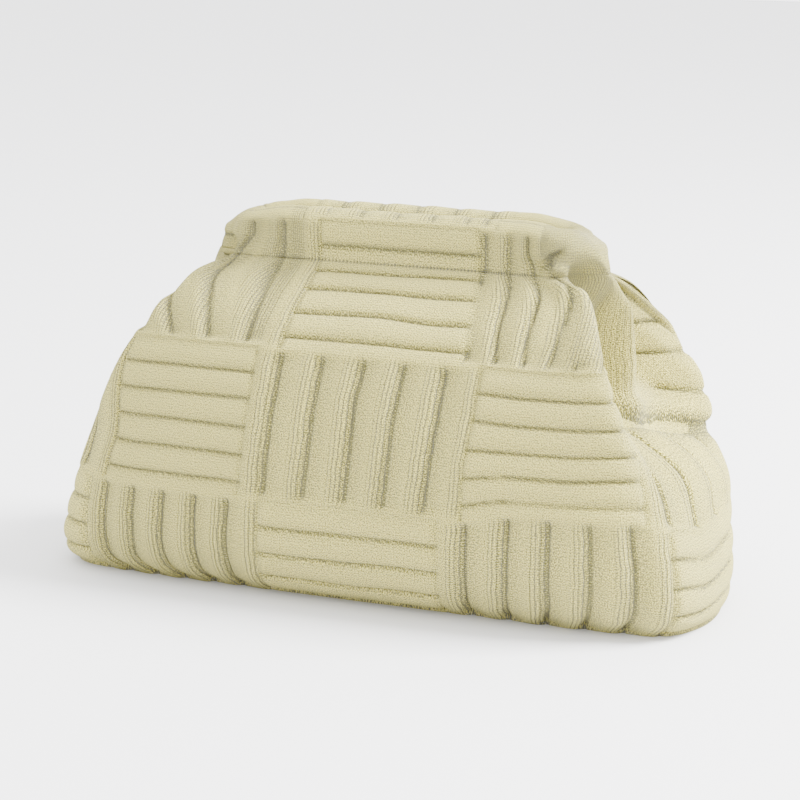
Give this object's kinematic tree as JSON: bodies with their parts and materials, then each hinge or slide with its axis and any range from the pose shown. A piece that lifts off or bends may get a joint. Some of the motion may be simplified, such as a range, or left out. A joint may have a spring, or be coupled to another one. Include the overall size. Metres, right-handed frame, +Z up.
{
  "type": "knitted frame pouch bag",
  "caption": "Soft knitted clutch bag, gathered to a hidden frame along its mouth, with raised ribs in a basket pattern.",
  "frame": {"origin": "middle of the bag's base, on the surface it stands on", "axes": "+X along the bag's length to its right end, +Y from front to back, +Z up"},
  "size_m": [0.3522, 0.142, 0.1925],
  "materials": {
    "knit": "pale sage ribbed cotton knit",
    "hem_knit": "pale sage ribbed cotton knit, rolled hem",
    "frame": "plain steel, hidden in the hem"
  },
  "bodies": {
    "root": {"body": "knit", "front_casing": "hem_knit", "back_casing": "hem_knit", "left_end_fold": "hem_knit", "right_end_fold": "hem_knit", "frame": "frame"}
  },
  "joints": []
}
